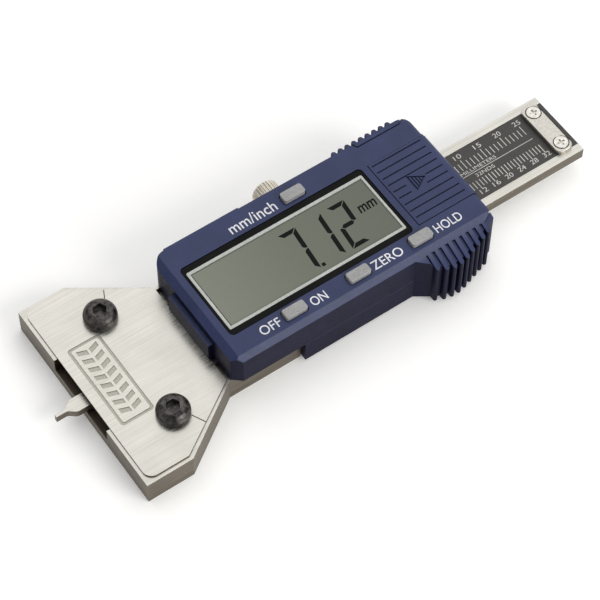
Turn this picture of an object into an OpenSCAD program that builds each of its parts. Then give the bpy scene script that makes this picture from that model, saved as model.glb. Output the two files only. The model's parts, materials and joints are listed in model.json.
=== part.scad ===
// Digital tyre tread depth gauge: a steel foot rests across the tread blocks, a flat
// beam slides through it and its probe reaches down into the groove.
// Lengths along the gauge are counted from the measuring face of the foot.
// The beam leaves towards +X, the display faces +Z, and +Y is the side of the locking screw.

/* [Foot] */
// Length of the flared foot, from the measuring face to the neck
foot_len = 24.9; // [24.6:0.1:25]
// Width of the measuring face
foot_w = 45.8; // [44:0.2:47]
// Depth of the full-width part, before the foot tapers to the neck
foot_straight = 10.15; // [9.5:0.05:11]
// Width of the neck, and of the frame behind it
neck_w = 25.8; // [25.6:0.1:26]
// Height of the foot and the frame rails
foot_h = 6.05; // [6.03:0.01:6.08]
// Width of the window in the measuring face
window_w = 18.6; // [18:0.1:19]
// How far the window lies off the middle, towards the locking screw
window_y = 0.45; // [0.3:0.05:0.5]
// Height of the floor under the probe
window_floor = 2.7; // [2.5:0.1:2.8]
// Thickness of the steel plate that covers the window
plate_t = 0.4; // [0.3:0.05:0.42]
// Distance from the measuring face to the foot's two screws
foot_screw_x = 12.35; // [12:0.05:12.7]
// Distance of the foot's screws from the middle
foot_screw_y = 12.8; // [12.6:0.1:13]

/* [Beam] */
// Width of the beam
beam_w = 16; // [15.9:0.1:16]
// Thickness of the beam
beam_t = 2.7; // [2.6:0.05:2.7]
// Height of the beam's underside
beam_z = 3.1; // [3.1:0.01:3.12]
// Front end of the beam, inside the foot
beam_front = 22; // [21:0.5:23]
// Free end of the beam
beam_end = 114.35; // [114:0.05:116]
// Width of the dark scale between the bare rails
scale_w = 12.5; // [12:0.1:12.6]
// Distance from the measuring face to the end stop plate
stop_x = 109; // [108.8:0.1:109.2]
// Distance from the measuring face to the stop plate's screws
stop_screw_x = 111.14; // [111:0.02:111.2]
// Distance of the stop plate's screws from the middle
stop_screw_y = 4.55; // [4.4:0.05:4.6]

/* [Probe] */
// How far the probe stands out of the measuring face
probe_reach = 5.8; // [5.5:0.1:6]
// Width of the probe's blade
probe_w = 3.14; // [3:0.02:3.2]
// Width of the probe's tip
probe_tip_w = 0.7; // [0.6:0.05:0.8]
// Thickness of the probe
probe_t = 1.8; // [1.7:0.05:1.8]

/* [Housing] */
// Left end of the plastic housing
shell_x0 = 25.25; // [25.2:0.05:25.3]
// Right end of the plastic housing
shell_x1 = 86; // [85.9:0.05:86.1]
// Width of the housing
shell_w = 29; // [29:0.1:29.2]
// Height of the housing's face
shell_top = 14; // [14:0.05:14.1]
// Height of the long bevel on the near side
bevel = 1.1; // [0.9:0.1:1.3]
// Start of the skirt that reaches down beside the frame
skirt_x = 41.3; // [41:0.1:41.5]
// Height of the skirt's lower edge
skirt_z = 0.76; // [0.6:0.02:0.9]
// Thickness of the walls and the roof
wall = 1.4; // [1.3:0.05:1.4]
// Spacing of the grip ribs
rib_pitch = 1.635; // [1.62:0.005:1.65]

/* [Battery cover] */
// Left end of the battery cover
cover_x0 = 72; // [71.95:0.05:72.1]
// Width of the opening that the battery cover slides in
cover_w = 17.25; // [17.2:0.05:17.4]
// Spacing of the grooves on the cover
groove_pitch = 1.83; // [1.82:0.005:1.84]

/* [Lock] */
// Distance from the measuring face to the locking screw
lock_x = 55.8; // [55.5:0.1:56]
// Diameter of the locking screw's knurled head
lock_head_d = 5.7; // [5.5:0.1:5.8]
// Outer end of the locking screw
lock_head_y = 21.2; // [21:0.1:21.4]

/* [Hidden] */

$fn = 48;
eps = 0.01;                     // overlap of unions and cuts
slide_gap = 0.05;               // running clearance of the beam
part_gap = 0.1;                 // clearance round loose plastic pieces
beam_top = beam_z + beam_t;
mid_x = (beam_end - probe_reach) / 2;   // middle of the whole gauge
frame_end = 83.5;               // end of the rails inside the housing
frame_step = 1.55;              // underside of the rails above the rear cover
cover_plate_z = foot_h;
gib_t = 0.8;                    // thickness of the gib strip
gib_wall = beam_w / 2 + 0.9;    // face of the rail behind the gib strip
roof_z = shell_top - wall;      // underside of the housing's roof
shell_half = shell_w / 2;
inner_half = shell_half - wall;
shell_end_in = shell_x1 - wall; // inside of the housing's end wall
shell_foot_z = foot_h + 0.25;   // lower edge of the housing beside the neck
edge_z = shell_top - bevel;     // lower edge of the bevels
board_z = foot_h;
board_t = 1;
lcd = [28.15, 70.6, 9.1];       // opening for the display: x from, x to, half width
lcd_white = [28.8, 69.85, 7.62];
lcd_view = [29.42, 69.33, 7];
button_size = [4.9, 2.3];
button_top = 14.9;
button_travel = 0.4;
flange_z = 11.7;                // underside of the button flanges
units_at = [56.05, 11.25];
power_at = [41.05, -11.1];
zero_at = [55.75, -11.2];
hold_at = [70.45, -11.2];
cell_r = 5.8;                   // LR44 button cell
cell_x = 78.3;
cell_z = 7.1;
cell_h = 5.4;
tray_floor = 6.95;
tray = [71.4, 84.8, 9.5];       // battery tray: x from, x to, half width
cover_end = shell_x1 + 0.35;    // the cover stands proud of the housing's end
cover_y = [-8.45, cover_w / 2 - 0.03];  // the cover sits against the far side of its opening
far_pad_x = [28.4, 45.5];       // proud part of the far wall
far_pad_t = 0.4;
grip_in = 13.3;                 // inner side of the grips, inside the wall
near_rib_x = 70.2;              // first ribs
far_rib_x = 69.1;
grip_ribs = 9;
rib_w = 0.95;
far_reach = shell_half + 1.85;  // outer reach of the straight ribs on the far side
rib_rise = 0.5;                 // height of the ribs' upper faces above the pad between them
arc_c = [74.4, 11.05];          // centre of the near grip's arc
arc_r = 8;
tail_slope = 0.32;              // fall of the near grip towards the right end
slant = 0.42;                   // fall of the grips' upper faces
housing_screws = [[47.5, -10.9], [47.5, 10.9], [80, -11], [80, 11]];
board_screws_at = [[30.5, -10.9], [30.5, 10.9], [63.5, -10.9], [63.5, 10.9]];
gib_screw_xs = [36, 70];
probe_rivet_xs = [25, 28];
lock_z = beam_z + beam_t / 2;
lock_r = 1.25;                  // screw thread and shoe
shoe_tip_r = 0.9;               // nose of the shoe, through the gib strip

// Places a shape, drawn from the measuring face, in the frame of the gauge
module from_face() { translate([-mid_x, 0, 0]) children(); }

// Box between two corners
module span(a, b) { translate(a) cube(b - a); }

// Flat shape in the XZ plane, swept along Y between two places
module sweep_y(y0, y1) {
    translate([0, y1, 0]) rotate([90, 0, 0]) linear_extrude(y1 - y0) children();
}

// Flat shape in the YZ plane, swept along X between two places
module sweep_x(x0, x1) {
    translate([x0, 0, 0]) rotate([90, 0, 90]) linear_extrude(x1 - x0) children();
}

// Rectangle between two corners, with round corners
module round_rect(a, b, r) {
    translate([a[0] + r, a[1]]) square([b[0] - a[0] - 2 * r, b[1] - a[1]]);
    translate([a[0], a[1] + r]) square([b[0] - a[0], b[1] - a[1] - 2 * r]);
    for (x = [a[0] + r, b[0] - r], y = [a[1] + r, b[1] - r])
        translate([x, y]) circle(r, $fn = 24);
}

// Upright rod at a place
module rod(at, r, z0, z1) { translate([at[0], at[1], z0]) cylinder(r = r, h = z1 - z0); }

// Rod along Y at a distance x
module rod_y(x, z, r, y0, y1) {
    translate([x, y1, z]) rotate([90, 0, 0]) cylinder(r = r, h = y1 - y0);
}

// Cross for a screwdriver, cut downwards from a height
module cross_recess(at, z, size, depth) {
    for (turn = [0, 90])
        translate([at[0], at[1], z - depth]) rotate(turn)
            translate([-size / 2, -size / 8, 0]) cube([size, size / 4, depth + 1]);
}

// ---------- Foot and frame ----------

module foot_outline(inset = 0) {
    half = foot_w / 2 - inset;
    neck = neck_w / 2 - inset / 2;
    polygon([[inset, -half], [foot_straight - inset / 2, -half], [foot_len - inset / 2, -neck],
             [foot_len - inset / 2, neck], [foot_straight - inset / 2, half], [inset, half]]);
}

module base_frame() {
    color("gainsboro") from_face() difference() {
        union() {
            linear_extrude(foot_h) foot_outline();
            span([foot_len - 1, -neck_w / 2, 0], [skirt_x, neck_w / 2, foot_h]);
            span([skirt_x - eps, -neck_w / 2, frame_step], [frame_end, neck_w / 2, foot_h]);
        }
        span([-1, window_y - window_w / 2, window_floor], [foot_len - 0.9, window_y + window_w / 2, foot_h + 1]);
        // Relief across the neck, between the plate and the housing
        span([foot_len - 0.6, -neck_w / 2 + 0.6, foot_h - 1.2], [foot_len + 1.5, neck_w / 2 - 0.6, foot_h + 1]);
        span([foot_len - 1, -beam_w / 2 - slide_gap, window_floor], [38, gib_wall, foot_h + 1]);
        span([37, -beam_w / 2 - slide_gap, beam_z - slide_gap], [frame_end + 1, gib_wall, foot_h + 1]);
        for (side = [-1, 1]) rod([foot_screw_x, side * foot_screw_y], 1.25, 1, foot_h + 1);
        rod_y(lock_x, lock_z, lock_r + slide_gap, gib_wall - 1, neck_w / 2 + 1);
        for (x = gib_screw_xs) rod_y(x, lock_z, 1, gib_wall - 1, neck_w / 2 + 1);
        for (at = housing_screws) rod(at, 1.15, 0, foot_h + 1);
        for (at = board_screws_at) rod(at, 0.8, foot_h - 2.5, foot_h + 1);
    }
}

module base_cover_plate() {
    line_a = [14.85, 15.1];
    line_b = [16.6, 18.6];
    line_w = 0.2;
    color("whitesmoke") from_face() difference() {
        translate([0, 0, cover_plate_z]) linear_extrude(plate_t) difference() {
            foot_outline(0.8);
            for (side = [-1, 1]) translate([0.8, side * (foot_w / 2 - 0.8)]) corner_cut(2);
        }
        for (side = [-1, 1]) {
            rod([foot_screw_x, side * foot_screw_y], 1.5, 0, foot_h + 1);
            translate([line_a[0], side * line_a[1], cover_plate_z + plate_t - 0.2])
                rotate(side * atan2(line_b[1] - line_a[1], line_b[0] - line_a[0]))
                    translate([0, -line_w / 2, 0]) cube([norm(line_b - line_a), line_w, 1]);
        }
        translate([0, 0, cover_plate_z + plate_t - 0.12]) linear_extrude(1) tread_mark();
    }
}

// Engraved frame round two rows of slanted tread blocks
module tread_mark() {
    frame_w = 0.6;
    outer = [[2.9, -9.95], [10.1, 9.95]];
    block = [2, 1.1];
    slope = 0.7;
    difference() {
        round_rect(outer[0], outer[1], 0.7);
        round_rect(outer[0] + [frame_w, frame_w], outer[1] - [frame_w, frame_w], 0.4);
    }
    for (row = [-1, 1], i = [-3.5 : 3.5])
        translate([6.5, i * 2.15]) mirror([row < 0 ? 1 : 0, 0])
            polygon([[0.25, -block[1] / 2], [0.25 + block[0], slope - block[1] / 2],
                     [0.25 + block[0], slope + block[1] / 2], [0.25, block[1] / 2]]);
}

// Square with a quarter circle left standing, which rounds a corner of radius r
module corner_cut(r) {
    difference() {
        square(2 * r, center = true);
        for (side = [-1, 1]) translate([r, side * r]) circle(r);
        translate([r, -2 * r]) square([r, 4 * r]);
    }
}

module base_screws() {
    head_r = 3.4;
    head_h = 2.8;
    shoulder_r = 1.85;
    z = cover_plate_z + plate_t;
    color("dimgray") from_face() for (side = [-1, 1])
        translate([foot_screw_x, side * foot_screw_y, 0]) {
            difference() {
                translate([0, 0, z]) rotate_extrude() {
                    square([head_r, head_h - shoulder_r]);
                    square([head_r - shoulder_r, head_h]);
                    translate([head_r - shoulder_r, head_h - shoulder_r]) intersection() {
                        circle(shoulder_r);
                        square(shoulder_r);
                    }
                }
                translate([0, 0, z + head_h - 1.4]) cylinder(r = 1.44, h = 2, $fn = 6);
            }
            translate([0, 0, 1.6]) cylinder(r = 1.2, h = z - 1.6 + eps);
        }
}

module gib_strip() {
    color("goldenrod") from_face() difference() {
        span([39, beam_w / 2 + 0.04, beam_z], [81, beam_w / 2 + 0.04 + gib_t, beam_top - 0.1]);
        rod_y(lock_x, lock_z, shoe_tip_r + 0.1, 0, neck_w);
    }
}

module gib_screws() {
    color("dimgray") from_face() for (x = gib_screw_xs) difference() {
        rod_y(x, lock_z, 0.96, gib_wall + (x < 39 ? 0.6 : -0.02), neck_w / 2 - 0.3);
        translate([x - 0.9, neck_w / 2 - 0.8, lock_z - 0.15]) cube([1.8, 1, 0.3]);
    }
}

module lock_shoe() {
    color("goldenrod") from_face() {
        rod_y(lock_x, lock_z, shoe_tip_r, beam_w / 2 + 0.27, 10);
        rod_y(lock_x, lock_z, lock_r, gib_wall + 0.3, 10.2);
    }
}

module lock_screw() {
    flutes = 26;
    flute_r = 0.24;
    head_r = lock_head_d / 2;
    head_y = 15.1;
    color("silver") from_face() difference() {
        union() {
            rod_y(lock_x, lock_z, lock_r, 10.2, head_y + eps);
            translate([lock_x, lock_head_y, lock_z]) rotate([90, 0, 0]) rotate_extrude()
                polygon([[0, 0], [head_r - 0.35, 0], [head_r, 0.35],
                         [head_r, lock_head_y - head_y - 0.35], [head_r - 0.35, lock_head_y - head_y],
                         [0, lock_head_y - head_y]]);
        }
        for (i = [0 : flutes - 1]) {
            turn = i * 360 / flutes;
            rod_y(lock_x + head_r * cos(turn), lock_z + head_r * sin(turn), flute_r,
                  head_y - 1, lock_head_y + 1, $fn = 16);
        }
    }
}

// ---------- Beam ----------

module beam() {
    recess_z = beam_top - 0.9;
    color("gainsboro") from_face() difference() {
        span([beam_front, -beam_w / 2, beam_z], [beam_end, beam_w / 2, beam_top]);
        span([beam_front + 9, -scale_w / 2, recess_z], [beam_end + 1, scale_w / 2, beam_top + 1]);
        span([beam_front - 1, -probe_w / 2, beam_z - 1], [beam_front + 8, probe_w / 2, probe_z() + probe_t]);
        for (x = probe_rivet_xs) rod([x, 0], 0.6, beam_z, beam_top + 1);
        for (side = [-1, 1]) rod([stop_screw_x, side * stop_screw_y], 0.8, beam_z - 1, beam_top);
    }
}

// Underside of the probe, clear of the window's floor
function probe_z() = window_floor + 0.25;

// Half width of the probe between the blade and the tip, as a smooth ogee
function probe_half(t) = probe_tip_w / 2 + (probe_w - probe_tip_w) / 4 * (1 + cos(180 * t));

module probe() {
    steps = 10;
    taper_from = -1.5;
    taper_to = -3.8;
    side = [for (i = [0 : steps]) [taper_from + (taper_to - taper_from) * i / steps, probe_half(i / steps)]];
    upper = concat([[beam_front + 8, probe_w / 2]], side, [[-probe_reach, probe_tip_w / 2]]);
    lower = [for (i = [len(upper) - 1 : -1 : 0]) [upper[i][0], -upper[i][1]]];
    color("silver") from_face() difference() {
        translate([0, 0, probe_z()]) linear_extrude(probe_t) polygon(concat(upper, lower));
        for (x = probe_rivet_xs) rod([x, 0], 0.6, 0, foot_h);
    }
}

module probe_rivets() {
    color("silver") from_face() for (x = probe_rivet_xs)
        rod([x, 0], 0.6, probe_z(), beam_top);
}

module stator_strip() {
    color("darkgreen") from_face() difference() {
        span([beam_front + 9, -scale_w / 2, beam_top - 0.9], [beam_end, scale_w / 2, beam_top - 0.3]);
        for (side = [-1, 1]) rod([stop_screw_x, side * stop_screw_y], 0.9, 0, beam_top);
    }
}

module scale_label() {
    color("dimgray") from_face() difference() {
        span([beam_front + 9, -scale_w / 2, beam_top - 0.3], [beam_end, scale_w / 2, beam_top - 0.12]);
        for (side = [-1, 1]) rod([stop_screw_x, side * stop_screw_y], 0.9, 0, beam_top);
    }
}

module stop_plate() {
    color("gainsboro") from_face() difference() {
        translate([0, 0, beam_top]) linear_extrude(0.95)
            round_rect([stop_x, -6.65], [112.95, 6.65], 1.3);
        for (side = [-1, 1]) {
            rod([stop_screw_x, side * stop_screw_y], 0.9, 0, beam_top + 1);
            rod([stop_screw_x, side * stop_screw_y], 1.62, beam_top + 0.35, beam_top + 2);
        }
    }
}

module stop_plate_screws() {
    head_z = beam_top + 0.35;
    color("silver") from_face() for (side = [-1, 1]) difference() {
        union() {
            rod([stop_screw_x, side * stop_screw_y], 0.76, beam_z + 0.4, head_z + eps);
            rod([stop_screw_x, side * stop_screw_y], 1.5, head_z, head_z + 0.65);
        }
        cross_recess([stop_screw_x, side * stop_screw_y], head_z + 0.65, 1.6, 0.4);
    }
}

// ---------- Housing ----------

module shell_outline() {
    corner = 3;
    near_corner = [1.85, 1.6];
    polygon([[shell_x0, -shell_half + near_corner[1]], [shell_x0 + near_corner[0], -shell_half],
             [shell_x1 - corner, -shell_half], [shell_x1 - corner, shell_half],
             [shell_x0 + corner, shell_half], [shell_x0, shell_half - corner]]);
    translate([shell_x1 - corner, corner - shell_half]) square([corner, shell_w - 2 * corner]);
    for (at = [[shell_x0 + corner, shell_half - corner], [shell_x1 - corner, shell_half - corner],
               [shell_x1 - corner, corner - shell_half]])
        translate(at) circle(corner);
    translate([far_pad_x[0], 0]) square([far_pad_x[1] - far_pad_x[0], shell_half + far_pad_t]);
}

// Outer body of the housing down to a height, with its bevels and its round end
module shell_body(z0) {
    far = shell_half + far_pad_t;
    near_bevel_w = 1.15;
    far_bevel = 0.2;
    left_bevel_w = 1.45;
    end_r = 1.4;
    intersection() {
        translate([0, 0, z0]) linear_extrude(shell_top - z0) shell_outline();
        sweep_x(shell_x0 - 1, shell_x1 + 1)
            polygon([[-shell_half, 0], [far, 0], [far, shell_top - far_bevel], [far - far_bevel, shell_top],
                     [-shell_half + near_bevel_w, shell_top], [-shell_half, edge_z]]);
        sweep_y(-shell_half - 1, far + 1) {
            polygon([[shell_x0, 0], [shell_x1, 0], [shell_x1, shell_top - end_r],
                     [shell_x1 - end_r, shell_top], [shell_x0 + left_bevel_w, shell_top], [shell_x0, edge_z]]);
            translate([shell_x1 - end_r, shell_top - end_r]) circle(end_r);
        }
    }
}

// Outer reach of the near grip's ribs at a distance x
function near_reach(x) =
    let (touch = arc_c[0] + arc_r * sin(atan(tail_slope)))
    x < touch ? arc_c[1] + sqrt(arc_r * arc_r - (x - arc_c[0]) * (x - arc_c[0]))
              : arc_c[1] + arc_r * cos(atan(tail_slope)) - tail_slope * (x - touch);

// Solid pads behind the ribs, seen from above with +Y outwards
module near_pad() {
    depth = 1.1;
    arc = [for (x = [69.6 : 1.45 : 76.85]) [x, near_reach(x) - depth]];
    end_x = shell_x1 - 0.2;
    polygon(concat([[66.9, grip_in], [66.9, shell_half]], arc, [[end_x, shell_half], [end_x, grip_in]]));
}

module far_pad() {
    y = shell_half;
    polygon([[66.4, grip_in], [66.4, y], [67.6, y + 0.8], [68.2, y + 1.1],
             [82.9, y + 1.1], [84.1, y], [84.1, grip_in]]);
}

module rib(x, reach) {
    translate([x - rib_w / 2, grip_in]) square([rib_w, reach - rib_w / 2 - grip_in]);
    translate([x, reach - rib_w / 2]) circle(rib_w / 2, $fn = 20);
}

// Space under the slanted faces, which fall away outwards from the bevels' lower edges
module under_slant(drop) {
    reach = 20;
    low = edge_z - slant * (reach - shell_half) - drop;
    high = edge_z + slant - drop;
    sweep_x(60, 90)
        polygon([[reach, 0], [reach, low], [shell_half - 1, high],
                 [1 - shell_half, high], [-reach, low], [-reach, 0]]);
}

// Both grips: the ribs, and the start of the near pad, stand higher than the pads
module grips() {
    ramp_end = near_rib_x - rib_pitch / 2;
    intersection() {
        translate([0, 0, skirt_z]) linear_extrude(edge_z - skirt_z) {
            mirror([0, 1]) {
                for (i = [0 : grip_ribs - 1])
                    rib(near_rib_x + i * rib_pitch, near_reach(near_rib_x + i * rib_pitch));
                intersection() {
                    near_pad();
                    square([ramp_end, 20]);
                }
            }
            for (i = [0 : grip_ribs - 1]) rib(far_rib_x + i * rib_pitch, far_reach);
        }
        under_slant(0);
    }
    intersection() {
        translate([0, 0, skirt_z]) linear_extrude(edge_z - skirt_z) {
            mirror([0, 1]) near_pad();
            far_pad();
        }
        under_slant(rib_rise);
    }
}

// Walls and floor round the button cell
module battery_tray() {
    difference() {
        span([tray[0], -tray[2], tray_floor - 0.8], [tray[1], tray[2], roof_z + eps]);
        rod([cell_x, 0], cell_r + 0.15, tray_floor, shell_top);
        span([72.05, -2.2, tray_floor], [74, 2.2, shell_top]);
        span([70, -5, tray_floor], [78, -3, tray_floor + 0.35]);
        span([70, -1, tray_floor], [74, 1, tray_floor + 0.35]);
    }
}

module front_shell() {
    cover_half = cover_w / 2;
    tongue = 0.8;
    step = 0.28;
    color("darkslateblue") from_face() difference() {
        union() {
            difference() {
                union() {
                    shell_body(shell_foot_z);
                    intersection() {
                        shell_body(skirt_z);
                        span([skirt_x, -20, 0], [shell_x1, 20, 20]);
                    }
                    grips();
                    // Nose that lies along the end of the foot's plate
                    span([24.2, -6.85, cover_plate_z + plate_t + 0.08], [shell_x0 + eps, 6.95, 11]);
                }
                span([shell_x0 + 1.6, -inner_half, -1], [shell_end_in, inner_half, roof_z]);
            }
            battery_tray();
            for (at = housing_screws) rod(at, 1.7, board_z + board_t + 0.02, roof_z + eps);
        }
        for (at = housing_screws) rod(at, 0.95, 0, 10.5);
        // Passage for the beam and its end stop
        span([80, -beam_w / 2 - 0.3, -1], [90, beam_w / 2 + 0.3, foot_h + 0.08]);
        // Display opening
        translate([0, 0, roof_z - 1]) linear_extrude(3)
            round_rect([lcd[0], -lcd[2]], [lcd[1], lcd[2]], 1);
        for (at = [units_at, power_at, zero_at, hold_at]) button_cut(at, 0.15, roof_z - 1, 3);
        // Battery cover: opening, end gap and the grooves for its tongues
        span([cover_x0, -cover_half, roof_z], [90, cover_half, 20]);
        span([tray[1] - eps, -cover_half, 7], [90, cover_half, 20]);
        span([cover_x0 + 0.9, -cover_half - tongue, roof_z + 0.05], [90, cover_half + tongue, roof_z + 0.75]);
        // Passage for the locking screw
        rod_y(lock_x, lock_z, 1.7, inner_half - 1, shell_half + 1);
        // Line cut along the far grip
        translate([0, 0, shell_top - 0.3]) linear_extrude(1)
            polygon([[72.4, shell_half + 0.1], [73.1, 13.3], [83.6, 13.3], [84.4, 14.1],
                     [84.4 - step, 14.1 + step], [83.5, 13.3 + step], [73.2, 13.3 + step],
                     [72.4 + 1.5 * step, shell_half + 0.1]]);
        // Parting line along the near wall
        span([skirt_x + 0.3, -20, 6.2], [68.5, 0.15 - shell_half, 6.35]);
    }
}

// Outline of a button, or of its opening when grown by a gap, cut upwards
module button_cut(at, gap, z, h) {
    size = button_size / 2 + [gap, gap];
    translate([at[0], at[1], z]) linear_extrude(h) round_rect(-size, size, 0.55);
}

module rear_cover() {
    color("midnightblue") from_face() difference() {
        union() {
            span([skirt_x + 0.3, part_gap - inner_half, 0],
                 [shell_end_in - part_gap, inner_half - part_gap, frame_step - 0.05]);
            span([frame_end + 0.2, -beam_w / 2, 0], [shell_x1 - 0.2, beam_w / 2, beam_z - 0.1]);
        }
        for (at = housing_screws) {
            rod(at, 1.1, -1, 3);
            rod(at, 1.9, -1, 0.8);
        }
    }
}

module rear_cover_screws() {
    color("silver") from_face() for (at = housing_screws) difference() {
        union() {
            rod(at, 0.9, 0.75, 10);
            rod(at, 1.75, 0.15, 0.8);
        }
        mirror([0, 0, 1]) cross_recess(at, -0.15, 1.9, 0.4);
    }
}

// ---------- Display and electronics ----------

module lcd_ring(outer, inner, z0, z1, r) {
    translate([0, 0, z0]) linear_extrude(z1 - z0) difference() {
        round_rect([outer[0], -outer[2]], [outer[1], outer[2]], r);
        translate([inner[0], -inner[2]]) square([inner[1] - inner[0], 2 * inner[2]]);
    }
}

module lcd_bezel() {
    seat = lcd_white + [-0.03, 0.03, 0.03];
    color("black") from_face() {
        lcd_ring(lcd + [part_gap, -part_gap, -part_gap], seat, roof_z - 0.7, shell_top - 0.12, 0.9);
        lcd_ring(lcd + [-0.7, 0.7, 0.1], seat, roof_z - 0.7, roof_z - 0.05, 1);
    }
}

module lcd_frame() {
    color("white") from_face() lcd_ring(lcd_white, lcd_view, roof_z - 0.7, shell_top - 0.1, 0.3);
}

module lcd_glass() {
    tight = 0.03;
    dark_gap = 0.2;             // along the left and the far side of the glass
    color("darkseagreen") from_face()
        span([lcd_view[0] + dark_gap, tight - lcd_view[2], shell_top - 1.1],
             [lcd_view[1] - tight, lcd_view[2] - dark_gap, shell_top - 0.3]);
}

module lcd_backing() {
    color("lightgray") from_face()
        span([lcd_view[0] + 0.5, -5.5, shell_top - 1.7], [lcd_view[1] - 0.5, 5.5, shell_top - 1.1]);
}

module elastomer_strips() {
    color("pink") from_face() for (side = [-1, 1])
        span([31.5, side * 6.2 - 0.5, board_z + board_t], [67, side * 6.2 + 0.5, shell_top - 1.1]);
}

module circuit_board() {
    color("green") from_face() difference() {
        translate([0, 0, board_z]) linear_extrude(board_t) {
            translate([27.2, -12.6]) square([44, 25.2]);
            translate([70, -12.6]) square([6, 2.6]);
        }
        for (at = board_screws_at) rod(at, 0.9, 0, 20);
        for (at = housing_screws) rod(at, 1.2, 0, 20);
    }
}

module board_screws() {
    top = board_z + board_t;
    color("silver") from_face() for (at = board_screws_at) difference() {
        union() {
            rod(at, 0.76, foot_h - 2.2, top + eps);
            rod(at, 1.4, top, top + 0.8);
        }
        cross_recess(at, top + 0.8, 1.6, 0.4);
    }
}

module controller_chip() {
    color("black") from_face() intersection() {
        span([44, -3.4, board_z + board_t], [52, 3.4, board_z + board_t + 1.2]);
        translate([48, 0, board_z + board_t - 8.2]) sphere(r = 9.4, $fn = 64);
    }
}

// Rubber strip with one post under each button, between two distances from the middle
module keypad(x0, x1, y0, y1, buttons) {
    top = board_z + board_t;
    color("lightgray") from_face() difference() {
        union() {
            span([x0, y0, top], [x1, y1, top + 0.6]);
            for (at = buttons) {
                translate([at[0], at[1], top]) linear_extrude(1.6) round_rect([-2, -1.1], [2, 1.1], 0.5);
                translate([at[0], at[1], top]) linear_extrude(flange_z - button_travel - 0.05 - top)
                    round_rect([-1.4, -0.8], [1.4, 0.8], 0.4);
            }
        }
        for (at = concat(housing_screws, board_screws_at)) rod(at, 1.9, 0, 20);
        span([tray[0] - part_gap, -tray[2] - part_gap, 0], [tray[1], 0, 20]);
    }
}

module keypad_near() { keypad(36, 74.5, -12.5, -7.8, [power_at, zero_at, hold_at]); }

module keypad_far() { keypad(52, 61, 7.8, 12.5, [units_at]); }

module button(at) {
    color("darkgray") from_face() {
        button_cut(at, 0, flange_z + 0.4, button_top - flange_z - 0.4);
        button_cut(at, 0.35, flange_z, roof_z - 0.05 - flange_z);
    }
}

module button_units() { button(units_at); }

module button_power() { button(power_at); }

module button_zero() { button(zero_at); }

module button_hold() { button(hold_at); }

module battery() {
    color("silver") from_face() difference() {
        rod([cell_x, 0], cell_r, cell_z, cell_z + cell_h);
        difference() {
            rod([cell_x, 0], cell_r + 1, cell_z - 1, cell_z + 0.5);
            rod([cell_x, 0], cell_r - 0.7, cell_z - 2, cell_z + 1);
        }
    }
}

module battery_contact_positive() {
    color("gold") from_face() {
        span([72.1, -2, tray_floor + 0.05], [72.45, 2, 12]);
        span([70.2, -0.9, board_z + board_t], [72.2, 0.9, board_z + board_t + 0.2]);
    }
}

module battery_contact_negative() {
    color("gold") from_face() {
        span([70.2, -4.9, board_z + board_t], [72.5, -3.1, board_z + board_t + 0.05]);
        span([72.4, -4.9, tray_floor + 0.01], [77, -3.1, cell_z - 0.01]);
    }
}

// ---------- Battery cover ----------

// Arrowhead that points towards the free end, drawn in by a margin
module arrow_outline(margin) {
    polygon([[76.7 + margin, 2.35 - 1.8 * margin], [80.1 - 1.9 * margin, 0.25],
             [76.7 + margin, -1.85 + 1.8 * margin]]);
}

module battery_cover() {
    x0 = cover_x0 + 0.15;
    flap_z = 7.1;
    flap_t = 1.5;
    round_r = 1.5;
    groove = [0.28, 0.3];       // width and depth of the grooves
    groove_x = [72.65, 84.45];
    first_y = 7.88;
    color("darkslateblue") from_face() difference() {
        union() {
            sweep_y(cover_y[0], cover_y[1]) {
                translate([x0, roof_z + 0.1]) square([cover_end - round_r - x0, shell_top - roof_z - 0.1]);
                translate([cover_end - flap_t, flap_z]) square([flap_t, shell_top - round_r - flap_z]);
                translate([cover_end - round_r, shell_top - round_r]) intersection() {
                    circle(round_r);
                    square(round_r);
                }
            }
            span([x0 + 1, cover_y[0] - 0.75, roof_z + 0.12], [shell_x1, cover_y[1] + 0.7, roof_z + 0.68]);
        }
        for (i = [0 : 8]) {
            y = first_y - i * groove_pitch;
            gap = i == 4 ? [75.6, 80.35] : i == 5 ? [75.6, 79.4] : [79, 79];
            for (run = [[groove_x[0], gap[0]], [gap[1], groove_x[1]]])
                span([run[0], y - groove[0] / 2, shell_top - groove[1]],
                     [run[1], y + groove[0] / 2, shell_top + 1]);
        }
        translate([0, 0, shell_top - groove[1]]) linear_extrude(1) difference() {
            arrow_outline(0);
            intersection() {
                arrow_outline(0.25);
                for (x = [77.1 : 0.6 : 78.9]) translate([x, -3]) square([0.34, 6]);
            }
        }
    }
}

base_frame();
base_cover_plate();
base_screws();
gib_strip();
gib_screws();
lock_shoe();
lock_screw();
beam();
probe();
probe_rivets();
stator_strip();
scale_label();
stop_plate();
stop_plate_screws();
front_shell();
rear_cover();
rear_cover_screws();
lcd_bezel();
lcd_frame();
lcd_glass();
lcd_backing();
elastomer_strips();
circuit_board();
board_screws();
controller_chip();
keypad_near();
keypad_far();
button_units();
button_power();
button_zero();
button_hold();
battery();
battery_contact_positive();
battery_contact_negative();
battery_cover();
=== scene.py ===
import json
from math import radians

import bmesh
import bpy
from mathutils import Matrix, Vector

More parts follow.
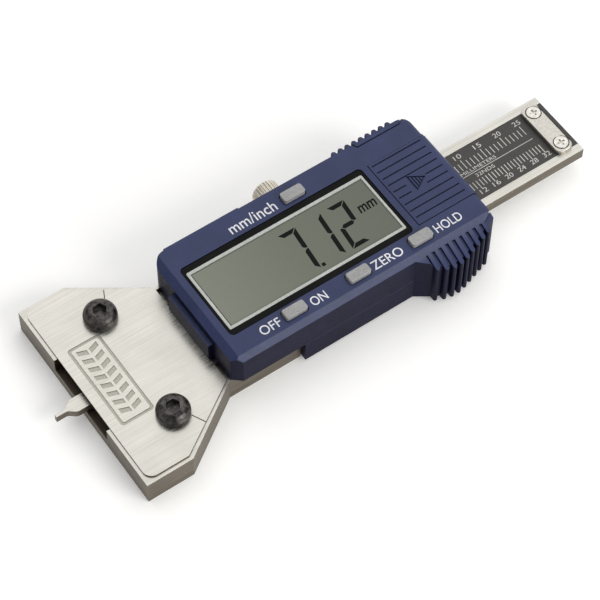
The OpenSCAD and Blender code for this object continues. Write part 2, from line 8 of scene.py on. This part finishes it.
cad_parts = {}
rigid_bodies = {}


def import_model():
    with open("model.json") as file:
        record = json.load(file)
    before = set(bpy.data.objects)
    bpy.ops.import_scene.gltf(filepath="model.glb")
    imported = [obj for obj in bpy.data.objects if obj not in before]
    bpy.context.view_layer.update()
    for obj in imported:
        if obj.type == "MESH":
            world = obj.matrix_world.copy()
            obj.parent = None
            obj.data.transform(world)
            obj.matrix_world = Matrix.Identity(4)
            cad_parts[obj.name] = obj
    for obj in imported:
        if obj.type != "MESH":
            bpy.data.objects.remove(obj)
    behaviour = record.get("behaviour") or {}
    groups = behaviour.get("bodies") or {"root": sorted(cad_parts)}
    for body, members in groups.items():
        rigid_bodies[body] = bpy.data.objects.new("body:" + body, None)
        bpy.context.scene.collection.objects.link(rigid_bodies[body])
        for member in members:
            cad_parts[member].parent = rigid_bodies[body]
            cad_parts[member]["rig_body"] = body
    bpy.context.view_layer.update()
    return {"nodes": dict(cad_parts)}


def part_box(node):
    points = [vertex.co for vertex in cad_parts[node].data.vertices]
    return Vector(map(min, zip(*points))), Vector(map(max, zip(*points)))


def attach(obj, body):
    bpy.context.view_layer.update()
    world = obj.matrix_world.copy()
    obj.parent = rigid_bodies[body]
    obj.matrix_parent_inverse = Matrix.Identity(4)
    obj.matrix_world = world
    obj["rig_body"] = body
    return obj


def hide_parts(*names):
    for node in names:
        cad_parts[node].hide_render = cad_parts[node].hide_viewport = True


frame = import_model()

MM = 0.001
INK = 0.015 * MM        # thickness of printed marks
SINK = 0.05 * MM        # how far a mark reaches into the surface that carries it
WELD = 0.002 * MM       # vertices closer than this are one vertex

FACE_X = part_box("base_frame")[0].x          # the measuring face; lengths along the gauge start here
SHELL_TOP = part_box("front_shell")[1].z
GLASS_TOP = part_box("lcd_glass")[1].z
SCALE_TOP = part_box("scale_label")[1].z
PLATE_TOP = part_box("base_cover_plate")[1].z


def at(x, y, z=0.0):
    """A point: x in mm from the measuring face, y in mm from the middle, z in metres."""
    return Vector((FACE_X + x * MM, y * MM, z))


def link(name, mesh):
    piece = bpy.data.objects.new(name, mesh)
    bpy.context.scene.collection.objects.link(piece)
    return piece


# ---------- Finishes ----------

def linear(red, green, blue):
    """A colour given as 0 to 255 display values, as Blender's linear RGBA."""
    def one(value):
        share = value / 255
        return share / 12.92 if share <= 0.04045 else ((share + 0.055) / 1.055) ** 2.4
    return (one(red), one(green), one(blue), 1.0)


class Finish:
    """A material under construction: a Principled shader and the nodes that vary it."""

    def __init__(self, name, metallic=0.0, roughness=0.5, specular=0.5):
        self.material = bpy.data.materials.new(name)
        self.material.use_nodes = True
        self.tree = self.material.node_tree
        self.shader = self.tree.nodes["Principled BSDF"]
        self.shader.inputs["Metallic"].default_value = metallic
        self.shader.inputs["Roughness"].default_value = roughness
        self.shader.inputs["Specular IOR Level"].default_value = specular
        self.place = self.tree.nodes.new("ShaderNodeTexCoord").outputs["Object"]

    def node(self, kind, **settings):
        made = self.tree.nodes.new(kind)
        for name, value in settings.items():
            setattr(made, name, value)
        return made

    def stretched(self, stretch):
        """Object coordinates scaled per axis."""
        mapping = self.node("ShaderNodeMapping")
        mapping.inputs["Scale"].default_value = stretch
        self.tree.links.new(self.place, mapping.inputs["Vector"])
        return mapping.outputs["Vector"]

    def noise(self, stretch, detail):
        """Noise with so many cells per metre along X, Y and Z."""
        texture = self.node("ShaderNodeTexNoise")
        texture.inputs["Scale"].default_value = 1.0
        texture.inputs["Detail"].default_value = detail
        texture.inputs["Roughness"].default_value = 0.55
        self.tree.links.new(self.stretched(stretch), texture.inputs["Vector"])
        return texture.outputs["Fac"]

    def cells(self, per_metre):
        """Distance from the nearest of many scattered points."""
        texture = self.node("ShaderNodeTexVoronoi")
        texture.inputs["Scale"].default_value = per_metre
        self.tree.links.new(self.place, texture.inputs["Vector"])
        return texture.outputs["Distance"]

    def ramp(self, factor, *stops):
        """A colour ramp; each stop is (position, colour)."""
        ramp = self.node("ShaderNodeValToRGB")
        elements = ramp.color_ramp.elements
        elements[0].position, elements[0].color = stops[0]
        elements[1].position, elements[1].color = stops[-1]
        for position, colour in stops[1:-1]:
            elements.new(position).color = colour
        self.tree.links.new(factor, ramp.inputs["Fac"])
        return ramp.outputs["Color"]

    def spread(self, factor, low, high, from_low=0.3, from_high=0.7):
        """A factor mapped from one range of numbers to another."""
        mapped = self.node("ShaderNodeMapRange")
        for name, value in (("From Min", from_low), ("From Max", from_high),
                            ("To Min", low), ("To Max", high)):
            mapped.inputs[name].default_value = value
        self.tree.links.new(factor, mapped.inputs["Value"])
        return mapped.outputs["Result"]

    def mixed(self, factor, colour_a, colour_b, blend="MIX"):
        """Two colours blended; each value is a constant or another node's output."""
        mix = self.node("ShaderNodeMix", data_type="RGBA", blend_type=blend)
        for name, value in (("Factor", factor), ("A", colour_a), ("B", colour_b)):
            socket = next(s for s in mix.inputs if s.name == name and s.enabled)
            if isinstance(value, (float, tuple)):
                socket.default_value = value
            else:
                self.tree.links.new(value, socket)
        return next(s for s in mix.outputs if s.enabled)

    def colour(self, output):
        self.tree.links.new(output, self.shader.inputs["Base Color"])

    def roughness(self, output):
        self.tree.links.new(output, self.shader.inputs["Roughness"])

    def bump(self, *heights, normal=None):
        """Relief from several heights over a normal; each is (factor, depth in metres)."""
        for factor, depth in heights:
            bump = self.node("ShaderNodeBump")
            bump.inputs["Strength"].default_value = 1.0
            bump.inputs["Distance"].default_value = depth
            self.tree.links.new(factor, bump.inputs["Height"])
            if normal is not None:
                self.tree.links.new(normal, bump.inputs["Normal"])
            normal = bump.outputs["Normal"]
        self.tree.links.new(normal, self.shader.inputs["Normal"])


ALONG_X = (55, 3200, 3200)      # brushing lines along the gauge, in cells per metre
ALONG_Y = (3200, 55, 3200)


def brushed_steel(name, bright, dark, grain, roughness=0.42, depth=0.004):
    """Steel with brushing lines and faint stains."""
    steel = Finish(name, metallic=1.0, roughness=roughness)
    lines = steel.noise(grain, detail=5)
    stains = steel.noise((130, 130, 130), detail=3)
    tone = steel.ramp(lines, (0.32, linear(*dark)), (0.68, linear(*bright)))
    shade = steel.ramp(stains, (0.35, (0.93, 0.93, 0.92, 1)), (0.65, (1, 1, 1, 1)))
    steel.colour(steel.mixed(1.0, tone, shade, "MULTIPLY"))
    steel.roughness(steel.spread(lines, roughness - 0.06, roughness + 0.08))
    steel.bump((lines, depth * MM))
    return steel.material


def cast_grain(name, bright, dark, metallic, roughness, per_metre, depth):
    """Metal or plastic with an even, fine grain."""
    finish = Finish(name, metallic=metallic, roughness=roughness)
    grain = finish.noise((per_metre,) * 3, detail=4)
    finish.colour(finish.ramp(grain, (0.35, linear(*dark)), (0.65, linear(*bright))))
    finish.roughness(finish.spread(grain, roughness - 0.05, roughness + 0.07))
    finish.bump((grain, depth * MM))
    return finish.material


def black_oxide():
    """Blackened steel: nearly black, blotchy, with bright specks."""
    steel = Finish("black_oxide", metallic=0.85, roughness=0.33)
    blotch = steel.noise((900, 900, 900), detail=5)
    specks = steel.cells(1900)
    tone = steel.ramp(blotch, (0.36, linear(38, 36, 36)), (0.62, linear(92, 88, 86)))
    spark = steel.ramp(specks, (0.08, linear(150, 146, 142)), (0.2, linear(30, 29, 29)))
    steel.colour(steel.mixed(0.4, tone, spark, "SCREEN"))
    steel.roughness(steel.spread(blotch, 0.24, 0.46))
    steel.bump((blotch, 0.03 * MM), (specks, 0.012 * MM))
    return steel.material


def moulded_plastic(name, bright, dark, roughness, grain=2600, depth=0.006, specular=0.4):
    """Moulded plastic with an eroded-mould grain and slight tone changes."""
    plastic = Finish(name, roughness=roughness, specular=specular)
    fine = plastic.noise((grain,) * 3, detail=3)
    broad = plastic.noise((150, 150, 150), detail=2)
    tone = plastic.ramp(broad, (0.3, linear(*dark)), (0.7, linear(*bright)))
    specks = plastic.ramp(fine, (0.38, (0.8, 0.8, 0.84, 1)), (0.62, (1, 1, 1, 1)))
    plastic.colour(plastic.mixed(1.0, tone, specks, "MULTIPLY"))
    plastic.roughness(plastic.spread(fine, roughness - 0.06, roughness + 0.1))
    plastic.bump((fine, depth * MM))
    return plastic.material


def navy_plastic():
    """The housing's plastic: rounded edges, a fine grain, and painted shade on its upright faces, which are
    darker and less shiny.
    """
    plastic = Finish("navy_plastic")
    soft_edges = plastic.node("ShaderNodeBevel", samples=6)
    soft_edges.inputs["Radius"].default_value = 0.16 * MM
    fine = plastic.noise((2600,) * 3, detail=3)
    broad = plastic.noise((150,) * 3, detail=2)
    tone = plastic.ramp(broad, (0.3, linear(38, 48, 84)), (0.7, linear(44, 54, 93)))
    # Painted shade: the darker colour that the upright faces take in place of the top's tone.
    painted_shade_wall = plastic.ramp(broad, (0.3, linear(17, 17, 40)), (0.7, linear(23, 23, 48)))
    facing = plastic.node("ShaderNodeSeparateXYZ")
    plastic.tree.links.new(soft_edges.outputs["Normal"], facing.inputs["Vector"])
    upward = plastic.spread(facing.outputs["Z"], 0.0, 1.0, 0.15, 0.6)
    sheen = plastic.spread(upward, 0.08, 0.35, 0.0, 1.0)
    plastic.tree.links.new(sheen, plastic.shader.inputs["Specular IOR Level"])
    specks = plastic.ramp(fine, (0.38, (0.82, 0.82, 0.86, 1)), (0.62, (1, 1, 1, 1)))
    plastic.colour(plastic.mixed(1.0, plastic.mixed(upward, painted_shade_wall, tone), specks, "MULTIPLY"))
    plastic.roughness(plastic.spread(fine, 0.36, 0.52))
    plastic.bump((fine, 0.006 * MM), normal=soft_edges.outputs["Normal"])
    return plastic.material


def display_glass():
    """The display's grey-green polariser, with painted light that makes it a little lighter towards the
    foot.
    """
    glass = Finish("display_glass", roughness=0.5, specular=0.15)
    low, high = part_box("lcd_glass")
    across = glass.node("ShaderNodeSeparateXYZ")
    glass.tree.links.new(glass.place, across.inputs["Vector"])
    # Painted light: a ramp along the gauge, lighter towards the foot.
    painted_falloff = glass.spread(across.outputs["X"], 0.0, 1.0, low.x, high.x)
    tone = glass.ramp(painted_falloff, (0.0, linear(126, 129, 117)), (0.5, linear(110, 113, 102)),
                      (1.0, linear(102, 105, 95)))
    haze = glass.noise((4000, 4000, 4000), detail=2)
    grain = glass.ramp(haze, (0.3, (0.93, 0.93, 0.93, 1)), (0.7, (1, 1, 1, 1)))
    glass.colour(glass.mixed(1.0, tone, grain, "MULTIPLY"))
    glass.roughness(glass.spread(haze, 0.32, 0.42))
    return glass.material


def knurled_steel():
    """Turned steel, warm and slightly worn."""
    steel = Finish("knurled_steel", metallic=1.0, roughness=0.34)
    wear = steel.noise((700, 260, 700), detail=4)
    steel.colour(steel.ramp(wear, (0.3, linear(168, 160, 146)), (0.7, linear(226, 221, 210))))
    steel.roughness(steel.spread(wear, 0.28, 0.44))
    steel.bump((wear, 0.008 * MM))
    return steel.material


STEEL_TOP = brushed_steel("steel_top", (211, 209, 202), (191, 188, 181), ALONG_X,
                          roughness=0.32, depth=0.003)
# Painted shade: darker, browner steel for the floors and walls below the foot's plate.
SHADED_STEEL = brushed_steel("shaded_steel", (96, 86, 74), (62, 55, 47), ALONG_Y, roughness=0.5)
SCRIBED = brushed_steel("scribed_steel", (120, 116, 108), (90, 86, 80), ALONG_X, roughness=0.5)
# Painted shade: the same brushed steel, darker, for long sides and for faces across the gauge.
PAINTED_SHADE_SIDE_STEEL = brushed_steel("painted_shade_side_steel", (138, 131, 120), (104, 97, 88), ALONG_X, roughness=0.5)
PAINTED_SHADE_END_STEEL = brushed_steel("painted_shade_end_steel", (136, 129, 118), (102, 95, 86), ALONG_Y, roughness=0.5)
PLATE_STEEL = brushed_steel("plate_steel", (211, 209, 202), (195, 192, 185), ALONG_X,
                            roughness=0.3, depth=0.0025)
ETCHED = cast_grain("etched_steel", (190, 189, 178), (160, 159, 148), 1.0, 0.55, 3800, 0.01)
SATIN_STEEL = cast_grain("satin_steel", (206, 203, 195), (186, 182, 174), 1.0, 0.4, 2400, 0.004)
SCREW_STEEL = cast_grain("screw_steel", (226, 224, 218), (196, 193, 186), 1.0, 0.28, 1300, 0.004)
KNURLED = knurled_steel()
BLACK_OXIDE = black_oxide()
NAVY = navy_plastic()
BEZEL = moulded_plastic("bezel_black", (20, 20, 19), (12, 12, 11), 0.5, specular=0.08)
WHITE = moulded_plastic("display_white", (194, 197, 191), (184, 187, 180), 0.45, specular=0.2)
KEY_GREY = moulded_plastic("key_grey", (164, 164, 163), (150, 150, 149), 0.5)
SCALE_BLACK = cast_grain("scale_black", (66, 63, 60), (46, 44, 42), 0.0, 0.55, 3000, 0.006)
GLASS = display_glass()
PRINT = moulded_plastic("white_print", (236, 237, 238), (222, 223, 226), 0.5)
SCALE_PRINT = moulded_plastic("scale_print", (214, 212, 206), (190, 188, 182), 0.5)
SEGMENT = moulded_plastic("display_segment", (20, 21, 19), (14, 15, 13), 0.5, specular=0.08)
BRONZE = brushed_steel("bronze", (196, 152, 92), (150, 108, 60), ALONG_X, roughness=0.38)
BRASS = brushed_steel("brass", (214, 180, 104), (170, 136, 72), ALONG_Y, roughness=0.36)
STATOR = moulded_plastic("stator_laminate", (66, 62, 54), (52, 49, 43), 0.5)
LAMINATE = moulded_plastic("laminate", (34, 98, 58), (24, 76, 44), 0.38)
CHIP = moulded_plastic("chip_black", (30, 30, 32), (18, 18, 20), 0.5)
RUBBER = moulded_plastic("keypad_rubber", (176, 176, 170), (150, 150, 146), 0.7)
ELASTOMER = moulded_plastic("elastomer", (222, 170, 168), (196, 140, 140), 0.75)
REFLECTOR = brushed_steel("reflector", (206, 208, 200), (180, 182, 174), ALONG_X, roughness=0.3)
CELL_STEEL = brushed_steel("cell_steel", (222, 222, 220), (190, 190, 188), ALONG_Y, roughness=0.25)
GOLD = cast_grain("contact_gold", (236, 200, 120), (208, 166, 84), 1.0, 0.28, 2000, 0.004)


# ---------- The CAD's own shapes, with rounded edges ----------

def upright(face):
    """Finish of a thin part's face: top, or side in painted shade."""
    return 0 if abs(face.normal.z) > 0.5 else 1


def steel_sides(face):
    """Finish of a steel block's face: top, or painted shade on a long side or on the face across the gauge.
    """
    if abs(face.normal.z) > 0.5:
        return 0
    return 2 if abs(face.normal.x) > 0.9 else 1


# The space below the foot's plate: its reach along the gauge, half its width, its lowest level
WINDOW_START, WINDOW_END, WINDOW_HALF, WINDOW_Z = 0.1 * MM, 24 * MM, 9.9 * MM, 0.5 * MM


def foot_sides(face):
    """As the steel block's faces, with the floors and walls below the foot's plate darker: painted shade."""
    middle = face.calc_center_median()
    inside = WINDOW_START < middle.x - FACE_X < WINDOW_END and abs(middle.y) < WINDOW_HALF
    return 3 if inside and middle.z > WINDOW_Z else steel_sides(face)


MARK_DEPTH, SCRIBE_DEPTH = 0.12 * MM, 0.2 * MM      # engraved in the foot's plate


def plate_parts(face):
    """Finish of the foot's plate: bright top, etched mark, dark scribed lines, sides in painted shade."""
    if abs(face.normal.z) < 0.5:
        return 1
    depth = PLATE_TOP - face.calc_center_median().z
    if depth < MARK_DEPTH / 2:
        return 0
    return 2 if depth < (MARK_DEPTH + SCRIBE_DEPTH) / 2 else 3


def softened(node, name, width, finishes, choose=None, rounds=2):
    """A copy of a CAD node with its sharp edges rounded, which stands for the node.

    Without a width the copy keeps its edges, which the navy plastic's finish rounds when it is shaded.
    """
    source = frame["nodes"][node]
    mesh = bpy.data.meshes.new(name)
    mesh.from_pydata([v.co for v in source.data.vertices], [], [p.vertices[:] for p in source.data.polygons])
    shape = bmesh.new()
    shape.from_mesh(mesh)
    bmesh.ops.remove_doubles(shape, verts=shape.verts, dist=WELD)
    if width:
        bmesh.ops.dissolve_limit(shape, angle_limit=radians(0.6), verts=shape.verts, edges=shape.edges)
    for face in shape.faces:
        face.smooth = True
        if choose:
            face.material_index = choose(face)
    shape.to_mesh(mesh)
    shape.free()
    mesh.set_sharp_from_angle(angle=radians(30))
    for finish in finishes:
        mesh.materials.append(finish)
    piece = link(name, mesh)
    if width:
        edges = piece.modifiers.new("rounded edges", "BEVEL")
        edges.width = width * MM
        edges.segments = rounds
        edges.limit_method = "ANGLE"
        edges.angle_limit = radians(36)
        edges.miter_outer = "MITER_ARC"
        edges.harden_normals = True
    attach(piece, source["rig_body"])
    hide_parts(node)


softened("base_frame", "steel_foot", 0.1,
         [STEEL_TOP, PAINTED_SHADE_SIDE_STEEL, PAINTED_SHADE_END_STEEL, SHADED_STEEL], foot_sides)
softened("base_cover_plate", "foot_plate", 0,
         [PLATE_STEEL, PAINTED_SHADE_SIDE_STEEL, ETCHED, SCRIBED], plate_parts)
softened("base_screws", "foot_screws", 0.1, [BLACK_OXIDE])
softened("beam", "slide_beam", 0.08, [STEEL_TOP, PAINTED_SHADE_SIDE_STEEL, PAINTED_SHADE_END_STEEL], steel_sides)
softened("probe", "depth_blade", 0.06, [STEEL_TOP, PAINTED_SHADE_SIDE_STEEL], upright)
softened("stop_plate", "end_stop", 0.16, [SATIN_STEEL])
softened("stop_plate_screws", "end_stop_screws", 0.06, [SCREW_STEEL])
softened("lock_screw", "thumb_screw", 0, [KNURLED])
softened("front_shell", "housing_shell", 0, [NAVY])
softened("battery_cover", "battery_door", 0, [NAVY])
softened("rear_cover", "back_cover", 0, [NAVY])
softened("rear_cover_screws", "back_cover_screws", 0.06, [SCREW_STEEL])
softened("lcd_bezel", "display_surround", 0.05, [BEZEL])
softened("lcd_frame", "display_frame", 0.04, [WHITE])
for key in ("units", "power", "zero", "hold"):
    softened(f"button_{key}", f"key_cap_{key}", 0.22, [KEY_GREY], rounds=4)

CARRIED_OVER = {
    "gib_strip": BRONZE, "gib_screws": BLACK_OXIDE, "lock_shoe": BRASS, "probe_rivets": SCREW_STEEL,
    "stator_strip": STATOR, "scale_label": SCALE_BLACK, "lcd_glass": GLASS, "lcd_backing": REFLECTOR,
    "elastomer_strips": ELASTOMER, "circuit_board": LAMINATE, "board_screws": SCREW_STEEL,
    "controller_chip": CHIP, "keypad_near": RUBBER, "keypad_far": RUBBER, "battery": CELL_STEEL,
    "battery_contact_positive": GOLD, "battery_contact_negative": GOLD,
}
for node, finish in CARRIED_OVER.items():
    materials = frame["nodes"][node].data.materials
    materials.clear()
    materials.append(finish)


# ---------- Marks ----------

def marked(name, shape, body, finish):
    """The piece made of a bmesh, with its finish and body."""
    mesh = bpy.data.meshes.new(name)
    shape.to_mesh(mesh)
    shape.free()
    mesh.materials.clear()
    mesh.materials.append(finish)
    piece = link(name, mesh)
    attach(piece, body)


def prisms(name, outlines, z, body, finish):
    """One piece of flat prisms: each outline is a list of (x, y) in mm from the measuring face."""
    shape = bmesh.new()
    for outline in outlines:
        rings = [[shape.verts.new(at(x, y, level)) for x, y in outline] for level in (z - SINK, z + INK)]
        shape.faces.new(rings[0][::-1])
        shape.faces.new(rings[1])
        for i in range(len(outline)):
            j = (i + 1) % len(outline)
            shape.faces.new((rings[0][i], rings[0][j], rings[1][j], rings[1][i]))
    bmesh.ops.recalc_face_normals(shape, faces=shape.faces)
    marked(name, shape, body, finish)


def bar(x0, x1, y0, y1):
    return [(x0, y0), (x1, y0), (x1, y1), (x0, y1)]


def lettering(name, words, z, body, finish, weight=0.0, shear=0.0):
    """Printed words: each is (text, left x, right x, base y, height) in mm, joined into one piece."""
    joined = bmesh.new()
    for text, left, right, base, height in words:
        curve = bpy.data.curves.new(name, "FONT")
        curve.body = text
        curve.offset = weight
        curve.shear = shear
        curve.extrude = 0.5
        drawn = bpy.data.objects.new(name, curve)
        bpy.context.scene.collection.objects.link(drawn)
        bpy.context.view_layer.update()
        mesh = bpy.data.meshes.new_from_object(drawn.evaluated_get(bpy.context.evaluated_depsgraph_get()))
        bpy.data.objects.remove(drawn)
        low = [min(v.co[i] for v in mesh.vertices) for i in range(2)]
        high = [max(v.co[i] for v in mesh.vertices) for i in range(2)]
        across = (right - left) * MM / (high[0] - low[0])
        up = height * MM / (high[1] - low[1])
        start = at(left, base, z)
        for v in mesh.vertices:
            level = INK if v.co.z > 0 else -SINK
            v.co = start + Vector(((v.co.x - low[0]) * across, (v.co.y - low[1]) * up, level))
        joined.from_mesh(mesh)
        bpy.data.meshes.remove(mesh)
    bmesh.ops.remove_doubles(joined, verts=joined.verts, dist=WELD / 4)
    marked(name, joined, body, finish)


KEY_LABELS = {
    "units": ("mm/inch", 41.2, 51.9, 10.0, 2.5),
    "off": ("OFF", 33.1, 37.6, -12.35, 2.05),
    "on": ("ON", 44.7, 48.2, -12.35, 2.05),
    "zero": ("ZERO", 59.0, 66.0, -12.3, 2.05),
    "hold": ("HOLD", 74.0, 80.2, -12.15, 2.05),
}
for key, word in KEY_LABELS.items():
    lettering(f"label_{key}", [word], SHELL_TOP, "housing", PRINT, weight=0.003)

# Display: seven-segment digits that lean to the right
DIGIT_W, DIGIT_H, STROKE, GAP, LEAN, DIGIT_BASE = 4.05, 10.6, 0.95, 0.13, 0.1, -5.75
DIGITS = {"1": "bc", "2": "abged", "7": "abc"}


def segment(letter):
    """Outline of one segment in the digit's own upright frame."""
    w, h, t, g = DIGIT_W, DIGIT_H, STROKE, GAP
    top = [(g, h), (w - g, h), (w - t - g, h - t), (t + g, h - t)]
    side = [(w, h - g), (w, h / 2 + g), (w - t / 2, h / 2 + g),
            (w - t, h / 2 + t / 2 + g), (w - t, h - t - g)]
    middle = [(t / 2 + g, h / 2), (t + g, h / 2 + t / 2), (w - t - g, h / 2 + t / 2),
              (w - t / 2 - g, h / 2), (w - t - g, h / 2 - t / 2), (t + g, h / 2 - t / 2)]
    outlines = {
        "a": top,
        "b": side,
        "c": [(u, h - v) for u, v in side],
        "d": [(u, h - v) for u, v in top],
        "e": [(w - u, h - v) for u, v in side],
        "g": middle,
    }
    return outlines[letter]


def digit(number, left):
    return [[(left + u + LEAN * v, DIGIT_BASE + v) for u, v in segment(letter)]
            for letter in DIGITS[number]]


reading = digit("7", 47.0) + digit("1", 52.9) + digit("2", 58.5)
reading.append(bar(51.45, 52.2, DIGIT_BASE, DIGIT_BASE + 0.75))
prisms("display_digits", reading, GLASS_TOP, "housing", SEGMENT)
lettering("display_unit", [("mm", 64.6, 68.7, 0.15, 1.75)], GLASS_TOP, "housing",
          SEGMENT, weight=0.02, shear=0.15)

# Scale on the beam: millimetres on the far half, thirty-seconds of an inch on the near half
SCALE_ZERO = 82.06
SCALE_END = 107.45
INCH_PART = 25.4 / 32
TICK_W = 0.17
NUMERAL_W, NUMERAL_H = 0.86, 1.12


def ticks(count, pitch, major, start, length, extra):
    """Bars across the scale; every major one is longer, away from the middle."""
    made = []
    for i in range(count + 1):
        x = SCALE_ZERO + i * pitch
        end = start + length + (extra if i % major == 0 else 0)
        made.append(bar(x - TICK_W / 2, x + TICK_W / 2, start, end))
    return made


def numbers(last, step, pitch, middle_y):
    """The scale's numbers as words, centred on their ticks."""
    made = []
    for value in range(0, last + 1, step):
        x = SCALE_ZERO + value * pitch
        half = NUMERAL_W / 2 * len(str(value))
        made.append((str(value), x - half, x + half, middle_y - NUMERAL_H / 2, NUMERAL_H))
    return made


marks = ticks(25, 1.0, 5, 1.5, 1.85, 0.55) + ticks(32, INCH_PART, 4, -1.9, -1.8, -0.5)
marks.append(bar(SCALE_ZERO - 1, SCALE_END, -0.07, 0.07))
prisms("scale_ticks", marks, SCALE_TOP, "measuring_beam", SCALE_PRINT)
words = numbers(25, 5, 1.0, 4.9) + numbers(32, 4, INCH_PART, -4.7)
words += [("MILLIMETERS", 89.9, 98.6, 0.35, 0.8), ("32NDS", 92.4, 97.0, -1.35, 0.85)]
lettering("scale_words", words, SCALE_TOP, "measuring_beam", SCALE_PRINT)


# ---------- Studio ----------

def aimed(azimuth, elevation, roll):
    """Rotation of a camera that looks along +Y at azimuth 0, down by its elevation; all in degrees."""
    return (Matrix.Rotation(-radians(azimuth), 4, "Z") @ Matrix.Rotation(radians(90 - elevation), 4, "X")
            @ Matrix.Rotation(radians(roll), 4, "Z"))


camera = bpy.data.objects.new("camera", bpy.data.cameras.new("camera"))
camera.data.lens = 138.06
camera.data.sensor_width = 36
camera.data.clip_start = 0.01
camera.matrix_world = (Matrix.Translation(Vector((-147.712, -201.906, 379.353)) * MM)
                       @ aimed(35.4215, 57.1448, 0.7153))
bpy.context.scene.collection.objects.link(camera)
bpy.context.scene.camera = camera


def soft_light(name, place, size, watts, tint=(1.0, 1.0, 1.0)):
    """A square soft box at a place in metres that faces the gauge."""
    lamp = bpy.data.lights.new(name, "AREA")
    lamp.shape = "SQUARE"
    lamp.size = size
    lamp.energy = watts
    lamp.color = tint
    box = bpy.data.objects.new(name, lamp)
    box.location = place
    box.rotation_euler = (-Vector(place)).to_track_quat("-Z", "Y").to_euler()
    bpy.context.scene.collection.objects.link(box)


soft_light("overhead", (0.3, 0.42, 0.8), 1.7, 8.2)
soft_light("front_right", (0.3, -0.8, 0.47), 0.6, 6.0, (1.0, 0.99, 0.97))

world = bpy.data.worlds.new("studio")
world.use_nodes = True
world.node_tree.nodes["Background"].inputs["Color"].default_value = (1.0, 0.995, 0.985, 1)
world.node_tree.nodes["Background"].inputs["Strength"].default_value = 0.42
bpy.context.scene.world = world
bpy.context.scene.view_settings.view_transform = "Standard"

floor_mesh = bpy.data.meshes.new("floor")
FLOOR_HALF = 4.0
FLOOR_Z = -0.05 * MM
corners = [(x * FLOOR_HALF, y * FLOOR_HALF, FLOOR_Z) for x, y in ((-1, -1), (1, -1), (1, 1), (-1, 1))]
floor_mesh.from_pydata(corners, [], [(0, 1, 2, 3)])
floor = link("floor", floor_mesh)
paper = Finish("paper", roughness=0.9, specular=0.1)
fibre = paper.noise((900, 900, 900), detail=3)
paper.shader.inputs["Emission Color"].default_value = (1.0, 1.0, 1.0, 1.0)
paper.shader.inputs["Emission Strength"].default_value = 0.14
paper.colour(paper.ramp(fibre, (0.3, linear(244, 244, 243)), (0.7, linear(248, 248, 247))))
floor_mesh.materials.append(paper.material)
